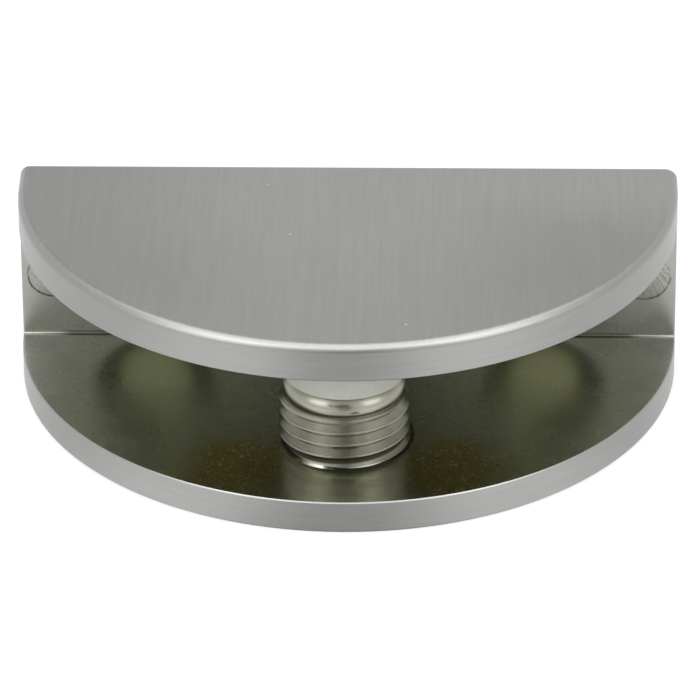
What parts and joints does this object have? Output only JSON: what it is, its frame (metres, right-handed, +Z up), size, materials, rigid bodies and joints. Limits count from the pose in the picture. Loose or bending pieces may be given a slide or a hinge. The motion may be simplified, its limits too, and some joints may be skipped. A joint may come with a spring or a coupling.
{
  "type": "glass panel clamp",
  "caption": "D-shaped clamp that fixes a glass panel or shelf to a wall: two jaws joined by a drilled back wall, and a threaded screw that presses a plastic pad against the panel.",
  "frame": {"origin": "centre of the pattern of wall-screw holes, on the flat back face, half-way up the gap for the glass", "axes": "+Y into the wall, square to the back face; +X along the wall, to the right when seen from the front; +Z up, along the clamping screw, from its socket towards the pad"},
  "size_m": [0.05, 0.028, 0.0158],
  "materials": {
    "satin_nickel": "satin nickel plate on zinc alloy, brushed outside and plain inside",
    "zinc_plated_steel": "bright zinc plate on steel",
    "white_plastic": "plain white nylon"
  },
  "bodies": {
    "body": {"clamp_body": "satin_nickel"},
    "pad": {"pressure_pad": "white_plastic"},
    "screw": {"clamp_screw": "zinc_plated_steel"}
  },
  "joints": [
    {"name": "screw_advance", "type": "slide", "parent": "body", "child": "pad", "axis": [0, 0, 1], "range_m": [-0.0044, 0.0022]},
    {"name": "screw_turn", "type": "hinge", "parent": "pad", "child": "screw", "pos_m": [0, -0.018, 0], "axis": [0, 0, 1], "range_deg": [-1585, 793]}
  ],
  "couplings": [
    {"joint": "screw_turn", "follows": "screw_advance", "rad_per_m": 6283.2}
  ]
}
